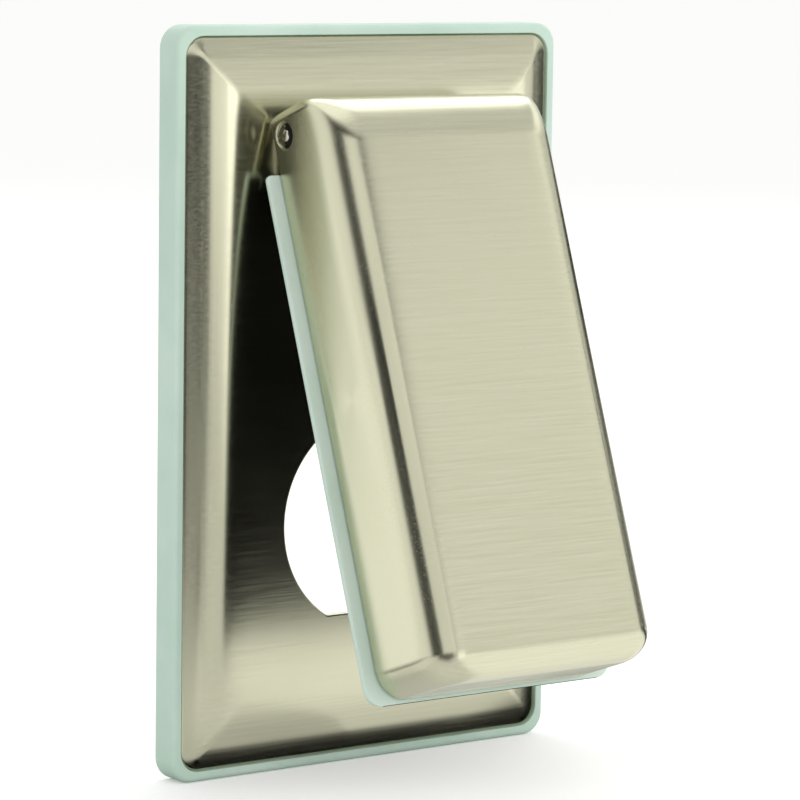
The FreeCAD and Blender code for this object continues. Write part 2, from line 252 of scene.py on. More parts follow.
# %% Mesh helpers
def ring(half_w, half_h, corner, y, centre_z=0.0, inset=0.0, steps=8):
    """Points of a rounded rectangle in the plane y, counted round from the upper right corner."""
    radius = max(corner - inset, 0.05)
    points = []
    for index, (side, end) in enumerate(((1, 1), (-1, 1), (-1, -1), (1, -1))):
        for step in range(steps + 1):
            angle = (index + step / steps) * math.pi / 2
            points.append(Vector((
                side * (half_w - inset - radius) + radius * math.cos(angle), y,
                centre_z + end * (half_h - inset - radius) + radius * math.sin(angle))))
    return points


def skin(rings, joined=False):
    """Closed mesh over a stack of rings; joined makes the last ring meet the first."""
    bm = bmesh.new()
    rows = [[bm.verts.new(p * MM) for p in points] for points in rings]
    pairs = list(zip(rows, rows[1:])) + ([(rows[-1], rows[0])] if joined else [])
    for near, far in pairs:
        for i in range(len(near)):
            j = (i + 1) % len(near)
            bm.faces.new((near[i], near[j], far[j], far[i]))
    if not joined:
        bm.faces.new(rows[0])
        bm.faces.new(rows[-1])
    bmesh.ops.remove_doubles(bm, verts=bm.verts, dist=1e-6)
    bmesh.ops.recalc_face_normals(bm, faces=bm.faces)
    return bm


def to_object(name, bm):
    mesh = bpy.data.meshes.new(name)
    bm.to_mesh(mesh)
    bm.free()
    piece = bpy.data.objects.new(name, mesh)
    bpy.context.scene.collection.objects.link(piece)
    return piece


def applied(piece):
    """Bake the piece's modifiers into its mesh."""
    depsgraph = bpy.context.evaluated_depsgraph_get()
    mesh = bpy.data.meshes.new_from_object(piece.evaluated_get(depsgraph))
    piece.modifiers.clear()
    piece.data = mesh
    return piece


def carve(piece, bm, operation="DIFFERENCE"):
    """Cut or join one closed form into a piece."""
    tool = to_object("tool", bm)
    modifier = piece.modifiers.new("carve", "BOOLEAN")
    modifier.object = tool
    modifier.operation = operation
    modifier.solver = "EXACT"
    applied(piece)
    bpy.data.objects.remove(tool)
    return piece


def dress(piece, material, sharp_deg=32.0):
    """Smooth shading that keeps real corners sharp and large flats flat, and the piece's finish."""
    piece.data.materials.clear()
    piece.data.materials.append(material)
    for polygon in piece.data.polygons:
        polygon.use_smooth = True
        polygon.material_index = 0
    piece.data.set_sharp_from_angle(angle=math.radians(sharp_deg))
    modifier = piece.modifiers.new("normals", "WEIGHTED_NORMAL")
    modifier.keep_sharp = True
    modifier.weight = 80
    applied(piece)
    print(piece.name, len(piece.data.polygons), "faces")
    return piece


def prism(outline, x_from, x_to):
    """Straight bar along X from an outline of (y, z) points."""
    bm = bmesh.new()
    near = [bm.verts.new(Vector((x_from, y, z)) * MM) for y, z in outline]
    far = [bm.verts.new(Vector((x_to, y, z)) * MM) for y, z in outline]
    bm.faces.new(near)
    bm.faces.new(far)
    for i in range(len(outline)):
        j = (i + 1) % len(outline)
        bm.faces.new((near[i], near[j], far[j], far[i]))
    bmesh.ops.recalc_face_normals(bm, faces=bm.faces)
    return bm


def arc(centre, radius, start_deg, end_deg, steps):
    """Points (y, z) along part of a circle."""
    return [(
        centre[0] + radius * math.cos(math.radians(start_deg + (end_deg - start_deg) * i / steps)),
        centre[1] + radius * math.sin(math.radians(start_deg + (end_deg - start_deg) * i / steps)))
        for i in range(steps + 1)]


def turned(profile, centre, steps=48, axis="Y"):
    """Solid of revolution from (radius, along) points; its ends lie on the axis."""
    bm = bmesh.new()
    rows = []
    for radius, along in profile:
        row = []
        for i in range(steps):
            angle = 2 * math.pi * i / steps
            a, b = radius * math.cos(angle), radius * math.sin(angle)
            point = Vector((a, along, b)) if axis == "Y" else Vector((along, a, b))
            row.append(bm.verts.new((point + Vector(centre)) * MM))
        rows.append(row)
    for near, far in zip(rows, rows[1:]):
        for i in range(steps):
            j = (i + 1) % steps
            bm.faces.new((near[i], near[j], far[j], far[i]))
    for row in (rows[0], rows[-1]):
        bm.faces.new(row)
    bmesh.ops.remove_doubles(bm, verts=bm.verts, dist=1e-7)
    bmesh.ops.recalc_face_normals(bm, faces=bm.faces)
    return bm


# %% [markdown]
# The wall gasket is a flat rubber frame, a little larger than the plate, with rounded edges. The plate is
# drawn down into it by its screw, so a low lip stands round the plate's edge and leaves a dark line.
# Every ring has the same number of points, so one skin runs over the outside, the lip and the window.

# %% Wall gasket
def gasket_ring(inset, y):
    return ring(GASKET_W / 2, GASKET_H / 2, GASKET_CORNER, y, inset=inset)


def window_ring(grow, y):
    return ring(WINDOW_W / 2, WINDOW_H / 2, WINDOW_CORNER, y, inset=-grow)


SINK, GASKET_EDGE = 0.8, 0.8
front, seat = -GASKET_T, -GASKET_T + SINK
gasket_rings = [gasket_ring(0.25, 0.0), gasket_ring(0.07, -0.07), gasket_ring(0.0, -0.25)]
gasket_rings += [
    gasket_ring(GASKET_EDGE - GASKET_EDGE * math.cos(a), front + GASKET_EDGE - GASKET_EDGE * math.sin(a))
    for a in (i * math.pi / 12 for i in range(7))]
gasket_rings += [
    ring(PLATE_W / 2, PLATE_H / 2, PLATE_CORNER, y, inset=inset)
    for inset, y in (
        (-0.32, front), (-0.17, front + 0.04), (-0.1, front + 0.2), (-0.1, seat - 0.1), (0.0, seat))]
gasket_rings += [window_ring(0.3, seat), window_ring(0.09, seat + 0.09), window_ring(0.0, seat + 0.3)]
gasket_rings += [window_ring(0.0, -0.25), window_ring(0.07, -0.07), window_ring(0.25, 0.0)]
base_gasket = dress(to_object("wall_gasket", skin(gasket_rings, joined=True)), wall_rubber)
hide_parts("base_gasket")
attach(base_gasket, "cover")

# %% [markdown]
# The plate is pressed from 1 mm sheet. Seen in section it rolls in from its skirt, climbs at about 21
# degrees, turns over a soft shoulder 3 to 4 mm from its edge, slopes on at about 14 degrees and runs out
# into the flat face at 11 mm. SHOULDER has that curve as how far in and how high. The outside follows it
# ring by ring, and the inside is the same curve one sheet thickness behind.

# %% Cover plate
SHOULDER = [
    (0.0, -0.75), (0.0, -0.55), (0.04, -0.45), (0.12, -0.35), (0.26, -0.26), (0.5, -0.15), (1.0, 0.04),
    (1.8, 0.35), (2.6, 0.663), (3.1, 0.856), (3.5, 0.995), (3.9, 1.115), (4.4, 1.247), (5.0, 1.402),
    (5.7, 1.58), (6.3, 1.718), (6.8, 1.815), (7.3, 1.893), (7.8, 1.953), (8.3, 1.999), (8.8, 2.034),
    (9.3, 2.06), (9.9, 2.083), (10.5, 2.096), (11.0, 2.1)]
EDGE_BREAK, SEAT_GAP, MITRE_SOFTNESS = 0.12, 0.02, 0.9


def plate_ring(inset, height):
    # The corner never closes fully, so the mitre between two slopes stays soft.
    corner = max(PLATE_CORNER, inset + MITRE_SOFTNESS)
    return ring(PLATE_W / 2, PLATE_H / 2, corner, PLATE_BACK - height, inset=inset)


def sheet_inside(profile, wall):
    """The curve one wall behind a profile, found square to it."""
    inside = [(wall, profile[0][1])]
    for (i0, h0), (i1, h1), (i2, h2) in zip(profile[2:], profile[3:], profile[4:]):
        length = math.hypot(i2 - i0, h2 - h0)
        point = (i1 + wall * (h2 - h0) / length, h1 - wall * (i2 - i0) / length)
        if point[1] > inside[-1][1] + 0.02 and point[0] > inside[-1][0]:
            inside.append(point)
    return inside + [(profile[-1][0], profile[-1][1] - wall)]


plate_rings = [plate_ring(i, h) for i, h in reversed(SHOULDER)]
plate_rings += [plate_ring(inset, -SINK + SEAT_GAP) for inset in (EDGE_BREAK, SHEET_T - EDGE_BREAK)]
plate_rings += [plate_ring(i, h) for i, h in sheet_inside(SHOULDER, SHEET_T)]
cover_plate = to_object("plate", skin(plate_rings))

# %% [markdown]
# A punch pulls the edge of each outlet opening in slightly before it shears, which leaves a small rolled
# edge that catches the light. The cutting form widens towards the front in a quarter circle, so the roll
# comes with the cut.

# %% Openings in the plate
EDGE_ROLL = 0.3


def outlet_outline(grow, y, centre_z, steps=40):
    radius, flat = OUTLET_R + grow, OUTLET_FLAT + grow
    reach = math.asin(flat / radius)
    angles = [-reach + 2 * reach * i / steps for i in range(steps + 1)]
    right = [(radius * math.cos(a), radius * math.sin(a)) for a in angles]
    return [Vector((x, y, centre_z + z)) for x, z in right] + [
        Vector((-x, y, centre_z + z)) for x, z in reversed(right)]


for side in (-1, 1):
    middle = side * OUTLET_PITCH / 2
    levels = [(EDGE_ROLL, PLATE_FACE - 1.0)]
    for index in range(7):
        angle = index * math.pi / 12
        levels.append((EDGE_ROLL * (1 - math.sin(angle)), PLATE_FACE + EDGE_ROLL * (1 - math.cos(angle))))
    levels.append((0.0, 0.5))
    carve(cover_plate, skin([outlet_outline(grow, y, middle) for grow, y in levels]))

# %% [markdown]
# Between the openings the sheet is pressed back into a cone, a seat for the fixing screw. The seat's
# edge is rolled too. The two rivet holes are filled by their rivets, so they stay plain.

# %% Screw seat and rivet holes
SCREW_R, HEAD_R, HEAD_DOME, TIP_Y = 1.7525, 3.4, 0.7, 5.6
SEAT_SLOPE = math.tan(math.radians(41))
SEAT_DEPTH = (HEAD_R - SCREW_R) / SEAT_SLOPE
SCREW_CLEAR, DIMPLE_WALL, DIMPLE_LAP, DIMPLE_SHORT, DIMPLE_EDGE = 0.15, 1.0, 0.2, 0.15, 0.12
RIVET_R, RIVET_X, RIVET_Z = 1.2, 11.0, PIN_Z - 3.7

dimple_front, dimple_back = PLATE_FACE + SHEET_T - DIMPLE_LAP, PLATE_FACE + SEAT_DEPTH - DIMPLE_SHORT
dimple_r = HEAD_R + DIMPLE_WALL
dimple_end = dimple_r - (dimple_back - dimple_front) * SEAT_SLOPE
carve(cover_plate, turned([
    (0.0, dimple_front), (dimple_r, dimple_front), (dimple_end + DIMPLE_EDGE, dimple_back - DIMPLE_EDGE),
    (dimple_end - DIMPLE_EDGE, dimple_back), (0.0, dimple_back)], (0, 0, 0), 64), "UNION")
seat_r, hole_r = HEAD_R + SCREW_CLEAR, SCREW_R + SCREW_CLEAR
carve(cover_plate, turned([
    (0.0, PLATE_FACE - 1), (seat_r + 0.2, PLATE_FACE - 1), (seat_r + 0.2, PLATE_FACE),
    (seat_r + 0.06, PLATE_FACE + 0.03), (seat_r - 0.03, PLATE_FACE + 0.09),
    (hole_r, PLATE_FACE + SEAT_DEPTH), (hole_r, 1.0), (0.0, 1.0)], (0, 0, 0), 64))
for side in (-1, 1):
    carve(cover_plate, turned([
        (0.0, PLATE_FACE - 1), (RIVET_R, PLATE_FACE - 1), (RIVET_R, PLATE_FACE + 2), (0.0, PLATE_FACE + 2)],
        (side * RIVET_X, 0, RIVET_Z), 32))
dress(cover_plate, plate_steel)
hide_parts("cover_plate")
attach(cover_plate, "cover")


# %% [markdown]
# The fixing screw has an oval head with a straight slot, and a real thread: 32 turns to the inch, 0.794 mm
# apart. A thread is a groove that moves on by one pitch per turn, so each point of a fine cylinder is
# moved in by its place along the screw and its angle. That keeps one closed skin with no joins. Crest and
# root are flat for a part of the pitch, and the groove fades out at both ends.

# %% Fixing screw
THREAD_PITCH, THREAD_DEPTH, THREAD_FLAT = 0.794, 0.42, 0.12
FADE_AT_HEAD, FADE_AT_TIP = 0.8, 0.6
SLOT_W, SLOT_DEPTH = 0.9, 0.9
around, per_turn = 40, 10

head_radius = (HEAD_R ** 2 + HEAD_DOME ** 2) / (2 * HEAD_DOME)
profile = []
for step in range(9):
    radius = (HEAD_R - 0.12) * step / 8
    height = math.sqrt(head_radius ** 2 - radius ** 2) - (head_radius - HEAD_DOME)
    profile.append((radius, PLATE_FACE - height))
profile += [(HEAD_R - 0.03, PLATE_FACE - 0.02), (HEAD_R, PLATE_FACE + 0.06)]
profile.append((SCREW_R, PLATE_FACE + SEAT_DEPTH))
thread_start, thread_end = PLATE_FACE + SEAT_DEPTH + 0.2, TIP_Y - 0.35
rows = int((thread_end - thread_start) / THREAD_PITCH * per_turn)
profile += [(SCREW_R, thread_start + (thread_end - thread_start) * i / rows) for i in range(rows + 1)]
profile += [(SCREW_R - 0.35, TIP_Y), (0.0, TIP_Y)]
bm = turned(profile, (0, 0, 0), around)
for vert in bm.verts:
    along = vert.co.y / MM
    radius = math.hypot(vert.co.x, vert.co.z) / MM
    if thread_start <= along <= thread_end and radius > 1.0:
        turn = along / THREAD_PITCH - math.atan2(vert.co.z, vert.co.x) / (2 * math.pi)
        valley = 1 - abs(2 * (turn % 1.0) - 1)
        valley = min(max((valley - THREAD_FLAT) / (1 - 2 * THREAD_FLAT), 0.0), 1.0)
        fade = min((along - thread_start) / FADE_AT_HEAD, (thread_end - along) / FADE_AT_TIP, 1.0)
        scale = (radius - THREAD_DEPTH * valley * fade) / radius
        vert.co.x *= scale
        vert.co.z *= scale
plate_screw = to_object("fixing_screw", bm)
slot_top, slot_floor = PLATE_FACE - HEAD_DOME - 1, PLATE_FACE - HEAD_DOME + SLOT_DEPTH
carve(plate_screw, prism(
    [(slot_top, -4), (slot_floor, -4), (slot_floor, 4), (slot_top, 4)], -SLOT_W / 2, SLOT_W / 2))
dress(plate_screw, screw_steel, 40)
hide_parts("plate_screw")
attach(plate_screw, "cover")


# %% [markdown]
# The lid is one drawn sheet, open at the back. It is stacked from U-shaped rings, from its foot to its
# roof. Its upright edges blend into the front over 7.2 mm without a hard start: a superellipse,
# |x|^n + |y|^n = 1, does that with one power. At the foot every ring shrinks by a quarter circle, and at
# the roof the front falls back in a large arc while the sides turn in by a small one.

# %% Lid rings
def lid_ring(z, half_w, front_y, corner, back_y, broken=0.0, steps=16):
    """One U of the sheet; broken is how far the two edges at its open end are rounded off."""
    corner = max(corner, 0.02)
    left = []
    for i in range(steps + 1):
        a = math.pi / 2 * i / steps
        side, ahead = (max(f(a), 0.0) ** (2 / BLEND_POWER) for f in (math.cos, math.sin))
        left.append(Vector((-half_w + corner - corner * side, front_y + corner - corner * ahead, z)))
    end = [
        Vector((-half_w + broken * (1 - math.sin(a)), back_y - broken * (1 - math.cos(a)), z))
        for a in (i * math.pi / 8 for i in range(5))] if broken else [Vector((-half_w, back_y, z))]
    half = end + left
    return half + [Vector((-p.x, p.y, z)) for p in reversed(half)]


def lid_stack(inset, back_y, roof_corner, broken=0.0):
    """Rings of the lid's outside, or of its inside when inset is the sheet's thickness."""
    half_w, front_y = LID_HALF - inset, -LID_FRONT + inset
    foot, roof = -LID_BOTTOM + inset, LID_TOP - inset
    round_low, round_top, blend = LID_ROUND - inset, TOP_ROUND - inset, LID_SIDE_BLEND - inset
    rings = []
    for i in range(10):
        a = i * math.pi / 18
        turn_in = round_low * (1 - math.sin(a))
        climb = round_low * (1 - math.cos(a))
        rim_back = back_y - broken + math.sqrt(max(broken ** 2 - max(broken - climb, 0.0) ** 2, 0.0))
        rings.append(lid_ring(
            foot + climb, half_w - turn_in, front_y + turn_in, blend - turn_in, rim_back, broken))
    drops = {round(round_top * (1 - math.sin(i * math.pi / 36)), 4) for i in range(19)}
    if roof_corner > 0:
        drops |= {round(roof_corner * (1 - math.sin(i * math.pi / 16)), 4) for i in range(9)}
    for drop in sorted(drops, reverse=True):
        rise = (round_top - drop) / round_top
        fall_back = round_top * (1 - math.sqrt(max(1 - rise ** 2, 0.0)))
        corner = blend * math.sqrt(max(1 - rise ** 2, 0.0))
        pull_in = 0.0
        if drop < roof_corner:
            pull_in = roof_corner - math.sqrt(roof_corner ** 2 - (roof_corner - drop) ** 2)
        rings.append(lid_ring(roof - drop, half_w - pull_in, front_y + fall_back, corner, back_y, broken))
    return rings


RIM_BREAK = 0.3
lid_shell = to_object("lid", skin(lid_stack(0.0, LID_RIM, ROOF_CORNER, broken=RIM_BREAK)))
carve(lid_shell, skin(lid_stack(LID_T, LID_RIM + 1, 0.0)))

# %% [markdown]
# Behind the pin the roof is cut away and the two side walls are rounded into knuckles, so that the lid
# can swing up without touching the plate. The pin's holes have a shallow recess, pressed from outside.

# %% Knuckles and pin holes
PIN_RECESS = 0.5
inner_half = LID_HALF - LID_T
carve(lid_shell, prism([(0, 0), (5, 0), (5, 6), (0, 6)], -inner_half, inner_half))
knuckle = arc((0, 0), LID_TOP, 90, 0, 24) + [(6, 0), (6, 6), (0, 6)]
carve(lid_shell, prism(knuckle, -LID_HALF - 1, LID_HALF + 1))
carve(lid_shell, turned(
    [(0.0, -LID_HALF - 1), (PIN_R, -LID_HALF - 1), (PIN_R, LID_HALF + 1), (0.0, LID_HALF + 1)],
    (0, 0, 0), 48, "X"))
for side in (-1, 1):
    outer, bottom = side * (LID_HALF + 1), side * (LID_HALF - PIN_RECESS)
    recess = [(0.0, outer), (2.4, outer), (2.3, side * LID_HALF), (2.18, side * (LID_HALF - 0.06)),
              (2.12, side * (LID_HALF - 0.2)), (2.1, side * (LID_HALF - 0.42)), (2.02, bottom), (0.0, bottom)]
    carve(lid_shell, turned(recess, (0, 0, 0), 48, "X"))


def swing_open(piece):
    """From the shut position about the pin to the resting one, in the mesh itself."""
    place = Matrix.Translation(Vector((0, PIN_Y, PIN_Z)) * MM)
    piece.data.transform(place @ Matrix.Rotation(LID_OPEN, 4, Vector((-1, 0, 0))))
    return piece


dress(swing_open(lid_shell), lid_steel)
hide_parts("lid_shell")
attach(lid_shell, "lid")

# %% [markdown]
# The lid's seal is one moulding: a plug that presses into the lid, and a flange that shows as a pale line
# along the lid's rim, with a thin dark seam between rubber and steel. Beside the bracket two arms of the
# flange run on up. The flange's outline isn't convex, so it is a closed skin that the plug is joined to.
# The flange starts 0.4 mm behind the lid's rim, and that gap is the seam.

# %% Lid seal
ARM_TOP, FLANGE_TOP, FLANGE_FOOT = -5.2, -7.0, -88.4
FLANGE_HALF, FLANGE_CORNER, ARM_CORNER = LID_HALF + 2.1, 2.85, 0.9
SEAL_T, SEAM = 1.4, 0.4


def corner_points(x, z, radius, start_deg, steps=8):
    """A quarter circle, counted anticlockwise as seen from the front."""
    return [(x + radius * math.cos(a), z + radius * math.sin(a)) for a in (
        math.radians(start_deg + 90 * i / steps) for i in range(steps + 1))]


def flange_outline(inset, y):
    """Right half from the bracket's notch round to the foot, then the same on the left."""
    outer, foot, arm = FLANGE_HALF - inset, FLANGE_FOOT + inset, ARM_TOP - inset
    inner, small, large = inner_half + inset, ARM_CORNER - inset, FLANGE_CORNER - inset
    right = corner_points(outer - large, foot + large, large, -90)
    right += corner_points(outer - small, arm - small, small, 0)
    right += corner_points(inner + small, arm - small, small, 90)
    right.append((inner, FLANGE_TOP - inset))
    return [Vector((x, y, z)) for x, z in right] + [Vector((-x, y, z)) for x, z in reversed(right)]


seal_back = LID_RIM + SEAL_T
lid_seal = to_object("lid_seal", skin([flange_outline(inset, y) for inset, y in (
    (0.6, LID_RIM + SEAM), (0.2, LID_RIM + 0.42), (0.05, LID_RIM + 0.5), (0.0, LID_RIM + 0.68),
    (0.0, seal_back - 0.4), (0.05, seal_back - 0.2), (0.2, seal_back - 0.05), (0.4, seal_back))]))

plug_top, plug_foot = -7.8, -86.8
PLUG = (inner_half - 0.1, (plug_top - plug_foot) / 2, 3.8)
POCKET = (OUTLET_R + 0.4, OUTLET_PITCH / 2 + OUTLET_FLAT + 0.4, 6.0)
plug_levels = [(0.35, 1.1), (0.1, 1.2), (0.0, 1.45), (0.0, LID_RIM + 0.6)]
pocket_levels = [
    (-1.2, seal_back + 1.0), (-0.2, seal_back), (-0.05, seal_back - 0.06), (0.0, seal_back - 0.2),
    (0.0, seal_back - 1.0), (0.06, seal_back - 1.14), (0.25, seal_back - 1.2)]
carve(lid_seal, skin([
    ring(*PLUG, y, (plug_top + plug_foot) / 2, inset) for inset, y in plug_levels]), "UNION")
carve(lid_seal, skin([ring(*POCKET, y, -PIN_Z, inset) for inset, y in pocket_levels]))
dress(lid_seal, lid_rubber)

# %% [markdown]
# The black finish on the seal's back and its recess is painted shade: it stands in for the shade under the
# lid. It is the same moulding's surface here, so it is a second finish on the faces that look at the plate,
# and the flange's two long sides keep the rubber. The test for the recess has no height in it, so it takes in
# the flange's straight edges at the foot and at the notch too. A real seal would have rubber there.

# %% Black finish inside the lid, painted shade
lid_seal.data.materials.append(pad_foam)
# Painted shade: the faces that look at the plate, and the recess, get the black finish.
for polygon in lid_seal.data.polygons:
    in_pocket = abs(polygon.center.x) < (POCKET[0] + 0.3) * MM and polygon.center.y > (LID_RIM + 0.05) * MM
    if polygon.center.y > (seal_back - 0.02) * MM or in_pocket and polygon.normal.y > -0.5:
        polygon.material_index = 1
swing_open(lid_seal)
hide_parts("lid_gasket")
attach(lid_seal, "lid")

# %% [markdown]
# Rivets and washers come in pairs, so a small node tree sets them out: it takes one turned form, a first
# place and a spacing, and puts a copy at both ends. Realize Instances turns the copies into plain mesh,
# which the export needs, and the result replaces both CAD nodes of that pair.

# %% Node tree that sets out a pair
pair_tree = bpy.data.node_groups.new("set out a pair", "GeometryNodeTree")
for label, kind in (
        ("Form", "NodeSocketObject"), ("First Place", "NodeSocketVector"),
        ("Spacing", "NodeSocketVector"), ("Finish", "NodeSocketMaterial")):
    pair_tree.interface.new_socket(label, in_out="INPUT", socket_type=kind)
pair_tree.interface.new_socket("Geometry", in_out="OUTPUT", socket_type="NodeSocketGeometry")
given = add_node(pair_tree, "NodeGroupInput")
form = add_node(pair_tree, "GeometryNodeObjectInfo", {"Object": given.outputs["Form"]})
places = add_node(pair_tree, "GeometryNodeMeshLine", {
    "Count": 2, "Start Location": given.outputs["First Place"], "Offset": given.outputs["Spacing"]})
copies = add_node(pair_tree, "GeometryNodeInstanceOnPoints", {
    "Points": places.outputs[0], "Instance": form.outputs["Geometry"]})
plain = add_node(pair_tree, "GeometryNodeRealizeInstances", {"Geometry": copies.outputs[0]})
finished = add_node(pair_tree, "GeometryNodeSetMaterial", {
    "Geometry": plain.outputs[0], "Material": given.outputs["Finish"]})
add_node(pair_tree, "NodeGroupOutput", {"Geometry": finished.outputs[0]})


def set_out(name, form_bm, first, spacing, material):
    """A pair of one form as a plain mesh."""
    source = to_object("form", form_bm)
    piece = to_object(name, bmesh.new())
    modifier = piece.modifiers.new("pair", "NODES")
    modifier.node_group = pair_tree
    identifiers = {
        item.name: item.identifier for item in pair_tree.interface.items_tree if item.in_out == "INPUT"}
    modifier[identifiers["Form"]] = source
    modifier[identifiers["First Place"]] = [v * MM for v in first]
    modifier[identifiers["Spacing"]] = [v * MM for v in spacing]
    modifier[identifiers["Finish"]] = material
    applied(piece)
    bpy.data.objects.remove(source)
    return piece


# %% [markdown]
# The rivets are solid: a low domed head on the bracket, a shank through strip and plate, and a tail that
# was spread behind the plate. The washers are flat nylon rings between the bracket's ears and the lid.

# %% Rivets and washers
STRIP_T = 1.2
strip_face = PLATE_FACE - STRIP_T
plate_inside = PLATE_FACE + SHEET_T
rivet_profile = [(0.0, strip_face - 0.9), (0.5, strip_face - 0.88), (1.0, strip_face - 0.8),
                 (1.5, strip_face - 0.62), (1.85, strip_face - 0.4), (2.04, strip_face - 0.16),
                 (2.1, strip_face), (RIVET_R, strip_face), (RIVET_R, plate_inside), (2.0, plate_inside),
                 (2.1, plate_inside + 0.1), (2.02, plate_inside + 0.4), (1.7, plate_inside + 0.62),
                 (1.1, plate_inside + 0.7), (0.0, plate_inside + 0.7)]
rivets = set_out(
    "bracket_rivets", turned(rivet_profile, (0, 0, 0), 40),
    (-RIVET_X, 0, RIVET_Z), (2 * RIVET_X, 0, 0), rivet_steel)
dress(rivets, rivet_steel, 40)
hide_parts("bracket_rivet_left", "bracket_rivet_right")
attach(rivets, "cover")

washer_in, washer_out, washer_steps = 19.6, 20.4, 48
washer_bm = bmesh.new()
washer_profile = [(1.63, washer_in), (2.62, washer_in), (2.7, washer_in + 0.08), (2.7, washer_out - 0.08),
                  (2.62, washer_out), (1.63, washer_out), (1.55, washer_out - 0.08), (1.55, washer_in + 0.08)]
middle = (washer_in + washer_out) / 2
rows = []
for radius, along in washer_profile:
    rows.append([
        washer_bm.verts.new(Vector((along - middle, radius * math.cos(a), radius * math.sin(a))) * MM)
        for a in (2 * math.pi * i / washer_steps for i in range(washer_steps))])
for near, far in zip(rows, rows[1:] + rows[:1]):
    for i in range(washer_steps):
        j = (i + 1) % washer_steps
        washer_bm.faces.new((near[i], near[j], far[j], far[i]))
bmesh.ops.recalc_face_normals(washer_bm, faces=washer_bm.faces)
washers = set_out("friction_washers", washer_bm, (-middle, PIN_Y, PIN_Z), (2 * middle, 0, 0), nylon)
dress(washers, nylon, 50)
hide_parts("friction_washer_left", "friction_washer_right")
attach(washers, "lid")

# %% [markdown]
# The hinge pin is drawn wire with turned-down, domed ends that stop just below the lid's side wall. The front
# part of the ring round each end is painted dark: painted shade in the gap between the pin and its recess.

# %% Hinge pin
GREASE_FROM, GREASE_BACK = 0.89, 0.3
recess_floor = LID_HALF - PIN_RECESS
pin_end = [
    (0.0, 0.46), (0.4, 0.445), (0.7, 0.38), (0.88, 0.24), (0.92, 0.18), (1.3, 0.16), (1.9, 0.2),
    (1.98, 0.02), (1.4, -0.1), (1.4, -0.6), (PIN_R, -0.7)]
pin_profile = [(radius, -recess_floor - past) for radius, past in pin_end]
pin_profile += [(radius, -along) for radius, along in reversed(pin_profile)]
hinge_pin = to_object("hinge_pin_turned", turned(pin_profile, (0, PIN_Y, PIN_Z), 48, "X"))
dress(hinge_pin, pin_steel, 40)
hinge_pin.data.materials.append(grease)
# Painted shade: the front part of the ring round each end, in the gap between pin and recess, gets the dark
# finish.
for polygon in hinge_pin.data.polygons:
    back, up = polygon.center.y / MM - PIN_Y, polygon.center.z / MM - PIN_Z
    in_recess = abs(polygon.center.x) > recess_floor * MM
    if in_recess and back < GREASE_BACK and math.hypot(back, up) > GREASE_FROM:
        polygon.material_index = 1
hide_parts("hinge_pin")
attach(hinge_pin, "lid")

# %% [markdown]
# The bracket is right as the CAD has it, so it keeps its node and gets a finish.

# %% Finish for the bracket
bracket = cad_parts["hinge_bracket"]
if not bracket.material_slots:
    bracket.data.materials.append(bracket_steel)
for material_slot in bracket.material_slots:
    material_slot.material = bracket_steel

# %% [markdown]
# The stage: a pale floor under the cover's foot and a white surrounding. To the camera both are white,
# and the floor keeps a soft shadow. Metal looks like what it mirrors, so what it sees of the floor is set
# by place. Right of straight ahead the floor is bright, as if the lamps fell on it, up to the far right,
# where it is dark. Left of that it is dimmer and darkens with distance, and past about 50 degrees to the
# left it is bright again. It is dark at the plate's foot, shaded under the lid and white behind the cover.

# %% Floor
FLOOR_GAP, FLOOR_REACH = 0.00005, 6
floor_z = -GASKET_H / 2 * MM - FLOOR_GAP
bm = bmesh.new()
corners = [
    bm.verts.new((x * FLOOR_REACH, y * FLOOR_REACH, floor_z))
    for x, y in ((-1, -1), (1, -1), (1, 1), (-1, 1))]
bm.faces.new(corners)
floor = to_object("floor", bm)
floor_material = bpy.data.materials.new("floor, pale paper")
floor_material.use_nodes = True
tree = floor_material.node_tree
tree.nodes.clear()
path = add_node(tree, "ShaderNodeLightPath")
place = add_node(tree, "ShaderNodeTexCoord").outputs["Object"]
spot = add_node(tree, "ShaderNodeSeparateXYZ", {"Vector": place})
depth = spot.outputs["Y"]
aside = add_node(tree, "ShaderNodeMath", {0: spot.outputs["X"]}, operation="ABSOLUTE").outputs[0]
# In front of the cover the slant is negative to the right and positive to the left.
slant = add_node(tree, "ShaderNodeMath", {0: spot.outputs["X"], 1: depth}, operation="DIVIDE").outputs[0]

# Each ramp has a name, what it follows, where it starts and ends (in metres for a place), and its value
# at the start and at the end.
part = {}
for name, follows, start, end, first, last, easing in (
        ("foot", depth, -0.0086, -0.0112, 0.0, 1.0, "SMOOTHSTEP"),
        ("under lid", depth, -0.014, -0.06, 0.68, 1.0, "LINEAR"),
        ("past plate", aside, 0.036, 0.044, 0.0, 1.0, "LINEAR"),
        ("ahead", depth, -0.08, -0.8, 0.82, 0.03, "LINEAR"),
        ("near lid", depth, -0.12, -0.2, 1.0, 0.0, "LINEAR"),
        ("not far left", slant, 0.2, 0.42, 1.0, 0.0, "LINEAR"),
        ("left", slant, 1.1, 1.6, 0.0, 0.9, "LINEAR"),
        ("right", slant, 0.02, -0.08, 0.0, 1.15, "LINEAR"),
        ("not far right", slant, -2.4, -3.4, 1.0, 0.0, "LINEAR"),
        ("behind", depth, -0.005, 0.03, 0.0, 1.0, "LINEAR")):
    part[name] = add_node(tree, "ShaderNodeMapRange", {
        "Value": follows, "From Min": start, "From Max": end, "To Min": first, "To Max": last},
        interpolation_type=easing).outputs[0]
for name, one, how, other in (
        ("sides", "left", "MAXIMUM", "right"),
        ("not dim", "near lid", "MAXIMUM", "not far left"),
        ("middle", "ahead", "MULTIPLY", "not dim"),
        ("bright", "middle", "MAXIMUM", "sides"),
        ("lit", "bright", "MULTIPLY", "not far right"),
        ("shaded foot", "foot", "MULTIPLY", "under lid"),
        ("open floor", "shaded foot", "MAXIMUM", "past plate"),
        ("in front", "lit", "MULTIPLY", "open floor"),
        ("mirrored", "in front", "MAXIMUM", "behind")):
    part[name] = add_node(tree, "ShaderNodeMath", {0: part[one], 1: part[other]}, operation=how).outputs[0]
